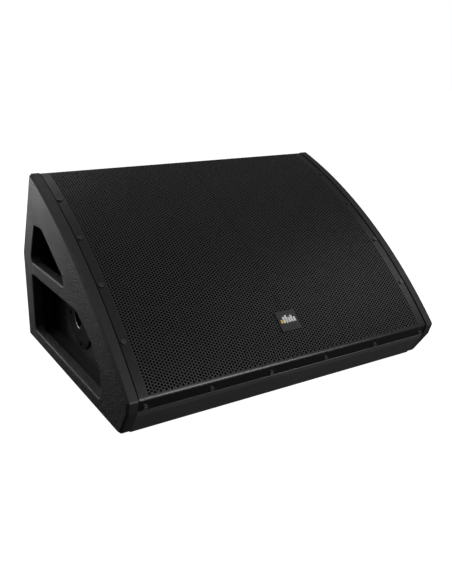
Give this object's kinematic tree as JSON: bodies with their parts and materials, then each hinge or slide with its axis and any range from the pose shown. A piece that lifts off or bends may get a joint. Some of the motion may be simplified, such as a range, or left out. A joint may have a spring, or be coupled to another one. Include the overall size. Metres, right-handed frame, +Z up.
{
  "type": "stage monitor wedge",
  "caption": "Low plywood floor cabinet with a sloping curved grille over a coaxial driver, recessed sides with hand openings, a pole socket and a connector plate.",
  "frame": {"origin": "on the floor, midway between the cheeks, 3 mm ahead of the bounding box's centre", "axes": "+X along the cabinet's width, -Y towards the grille, +Z up"},
  "size_m": [0.62, 0.5562, 0.3587],
  "materials": {
    "badge": "black badge plate with a plain pale emblem",
    "cabinet_paint": "textured black polyurethane paint on plywood",
    "cable": "black PVC insulation",
    "capacitor": "film capacitor wrap",
    "cast_frame": "black powder coat on cast aluminium",
    "circuit_board": "green circuit board",
    "coil": "enamelled copper-clad winding",
    "cone_paper": "treated paper pulp",
    "ferrite": "bare ferrite",
    "foam": "black open-cell foam",
    "former": "glass fibre former",
    "grille_steel": "satin black powder coat on perforated steel",
    "horn_plastic": "matt black plastic",
    "inner_ply": "bare birch plywood",
    "panel_ply": "plywood under black textured paint",
    "plated_steel": "zinc plated steel",
    "port_plastic": "matt black plastic",
    "resistor": "white ceramic",
    "rubber": "moulded rubber",
    "screw_steel": "black zinc plated steel",
    "socket_steel": "black flange over a steel tube",
    "spider_cloth": "resin-coated cotton",
    "surround_cloth": "doped cloth",
    "titanium": "thin titanium dome",
    "wadding": "polyester wadding"
  },
  "bodies": {
    "cabinet": {"left_cheek": "cabinet_paint", "right_cheek": "cabinet_paint", "bottom_panel": "panel_ply", "rear_lower_panel": "panel_ply", "rear_upper_panel": "panel_ply", "front_panel": "panel_ply", "baffle": "panel_ply", "left_inner_wall": "panel_ply", "right_inner_wall": "panel_ply", "grille_battens": "panel_ply", "baffle_cleats": "inner_ply", "floor_brace": "inner_ply", "port_tubes": "port_plastic", "pole_socket": "socket_steel", "pole_socket_screws": "screw_steel", "input_plate": "grille_steel", "input_plate_screws": "screw_steel", "speaker_sockets": "port_plastic", "selector_body": "port_plastic", "grille": "grille_steel", "grille_foam": "foam", "grille_side_screws": "screw_steel", "grille_flange_screws": "screw_steel", "badge": "badge", "rubber_feet": "rubber", "foot_screws": "screw_steel", "woofer_basket": "cast_frame", "woofer_gasket": "rubber", "woofer_top_plate": "plated_steel", "woofer_magnet": "ferrite", "woofer_back_plate": "plated_steel", "hf_throat": "horn_plastic", "woofer_surround": "surround_cloth", "woofer_spider": "spider_cloth", "woofer_bolts": "screw_steel", "woofer_nuts": "plated_steel", "hf_front_plate": "plated_steel", "hf_magnet": "ferrite", "hf_phase_plug": "horn_plastic", "hf_clamp_ring": "plated_steel", "hf_rear_cover": "cast_frame", "driver_terminals": "port_plastic", "crossover_board": "circuit_board", "crossover_standoffs": "plated_steel", "crossover_inductors": "coil", "crossover_capacitors": "capacitor", "crossover_resistors": "resistor", "damping_lining": "wadding", "wiring_input": "cable", "wiring_woofer": "cable", "wiring_hf": "cable"},
    "woofer_cone_assembly": {"woofer_cone": "cone_paper", "woofer_former": "former", "woofer_voice_coil": "coil"},
    "hf_diaphragm": {"hf_diaphragm": "titanium"},
    "selector_knob": {"selector_knob": "port_plastic"}
  },
  "joints": [
    {"name": "woofer_excursion", "type": "slide", "parent": "cabinet", "child": "woofer_cone_assembly", "axis": [0, -0.574, 0.8189], "range_m": [-0.006, 0.006], "stiffness_N_per_m": 4000, "deforming": ["woofer_surround", "woofer_spider"]},
    {"name": "hf_excursion", "type": "slide", "parent": "cabinet", "child": "hf_diaphragm", "axis": [0, -0.574, 0.8189], "range_m": [-0.0004, 0.0004], "stiffness_N_per_m": 4000},
    {"name": "selector_slide", "type": "slide", "parent": "cabinet", "child": "selector_knob", "axis": [0, 1, 0], "range_m": [0, 0.006]}
  ]
}
